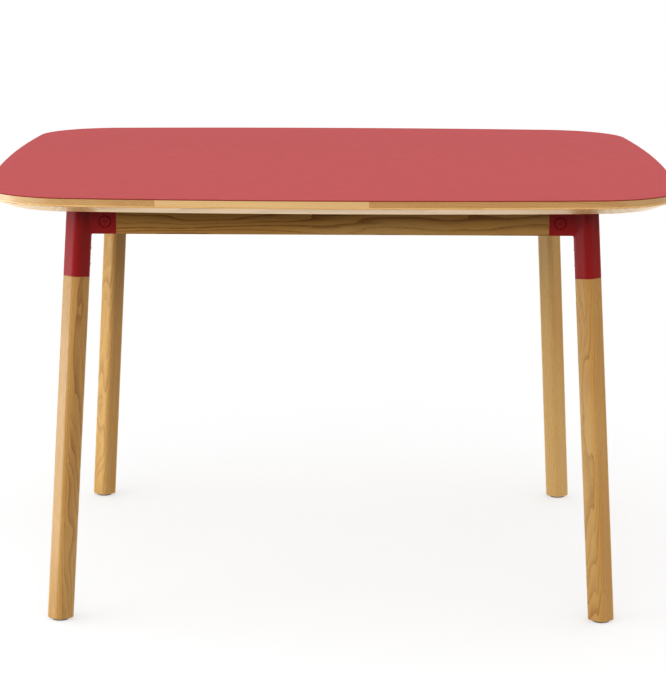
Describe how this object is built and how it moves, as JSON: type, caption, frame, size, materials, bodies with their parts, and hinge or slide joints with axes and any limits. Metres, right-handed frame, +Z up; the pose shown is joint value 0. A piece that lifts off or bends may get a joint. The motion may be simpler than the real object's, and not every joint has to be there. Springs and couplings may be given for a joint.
{
  "type": "square dining table",
  "caption": "Square dining table with a bowed linoleum top in an oak rim, an oak apron, and splayed oak legs held in moulded corner brackets.",
  "frame": {"origin": "on the floor under the middle of the top", "axes": "+Z up, the table's sides square to X and Y, the side seen in the picture towards -Y"},
  "size_m": [1.2, 1.2, 0.744],
  "materials": {
    "linoleum": "matt furniture linoleum with a fine grain",
    "core_board": "raw board, hidden",
    "backing_veneer": "lacquered veneer",
    "tongue_ply": "raw plywood, hidden",
    "oak_rim": "clear satin lacquer on oak",
    "oak_apron": "clear satin lacquer on oak",
    "oak_leg": "clear satin lacquer on oak",
    "red_plastic": "fine satin moulding",
    "red_coated_steel": "satin coating",
    "zinc_steel": "zinc plated",
    "insert_brass": "plain",
    "glide_plastic": "satin"
  },
  "bodies": {
    "root": {"apron_back": "oak_apron", "apron_front": "oak_apron", "apron_left": "oak_apron", "apron_right": "oak_apron", "apron_screws": "zinc_steel", "arm_bolts": "red_coated_steel", "arm_nuts": "red_coated_steel", "bracket_back_left": "red_plastic", "bracket_back_right": "red_plastic", "bracket_front_left": "red_plastic", "bracket_front_right": "red_plastic", "bracket_screws": "zinc_steel", "glide_back_left": "glide_plastic", "glide_back_right": "glide_plastic", "glide_front_left": "glide_plastic", "glide_front_right": "glide_plastic", "glide_nails": "zinc_steel", "leg_back_left": "oak_leg", "leg_back_right": "oak_leg", "leg_bolts": "zinc_steel", "leg_front_left": "oak_leg", "leg_front_right": "oak_leg", "leg_inserts": "insert_brass", "leg_washers": "zinc_steel", "rim_lower_back": "oak_rim", "rim_lower_corner_back_left": "oak_rim", "rim_lower_corner_back_right": "oak_rim", "rim_lower_corner_front_left": "oak_rim", "rim_lower_corner_front_right": "oak_rim", "rim_lower_front": "oak_rim", "rim_lower_left": "oak_rim", "rim_lower_right": "oak_rim", "rim_tongue_back_left": "tongue_ply", "rim_tongue_back_right": "tongue_ply", "rim_tongue_front_left": "tongue_ply", "rim_tongue_front_right": "tongue_ply", "rim_upper_back_end": "oak_rim", "rim_upper_back_middle": "oak_rim", "rim_upper_corner_back_left": "oak_rim", "rim_upper_corner_back_right": "oak_rim", "rim_upper_corner_front_left": "oak_rim", "rim_upper_corner_front_right": "oak_rim", "rim_upper_front_end": "oak_rim", "rim_upper_front_middle": "oak_rim", "rim_upper_left_end": "oak_rim", "rim_upper_left_middle": "oak_rim", "rim_upper_right_end": "oak_rim", "rim_upper_right_middle": "oak_rim", "top_backing": "backing_veneer", "top_core": "core_board", "top_linoleum": "linoleum"}
  },
  "joints": []
}
